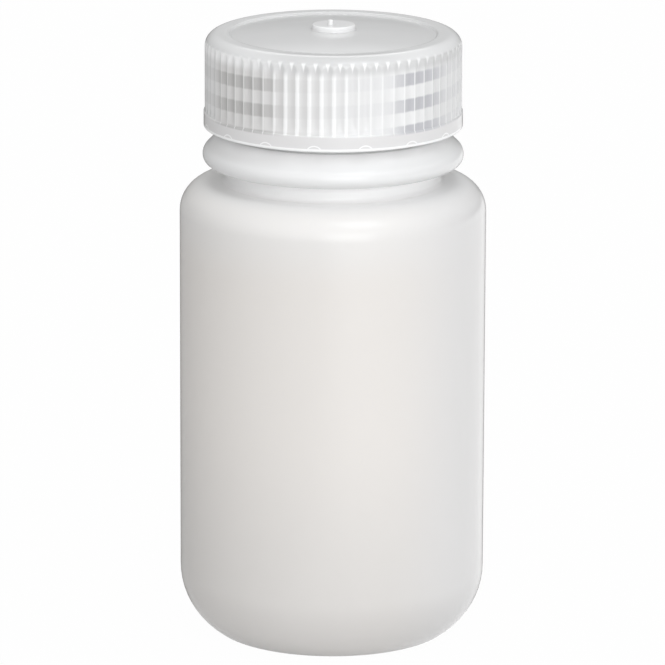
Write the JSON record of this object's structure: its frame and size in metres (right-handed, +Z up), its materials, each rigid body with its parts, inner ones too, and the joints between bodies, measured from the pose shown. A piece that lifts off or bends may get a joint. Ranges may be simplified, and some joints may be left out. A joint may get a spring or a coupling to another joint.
{
  "type": "wide-mouth bottle",
  "caption": "Small round translucent wide-mouth laboratory bottle with a rounded heel and shoulder, a beaded threaded neck and a finely ribbed screw cap.",
  "frame": {"origin": "centre of the standing ring under the base, on the surface that the bottle stands on", "axes": "+Z up along the bottle's axis, from the base to the cap; -Y is the side that the picture shows"},
  "size_m": [0.05, 0.05, 0.1023],
  "materials": {
    "bottle_plastic": "translucent milky high-density polyethylene, faint satin sheen",
    "cap_plastic": "natural translucent polypropylene, clearer and glossier than the bottle"
  },
  "bodies": {
    "bottle": {"bottle": "bottle_plastic"},
    "screw_cap": {"screw_cap": "cap_plastic"}
  },
  "joints": [
    {"name": "cap_lift", "type": "slide", "parent": "bottle", "child": "screw_cap", "axis": [0, 0, 1], "range_m": [0, 0.03]}
  ]
}
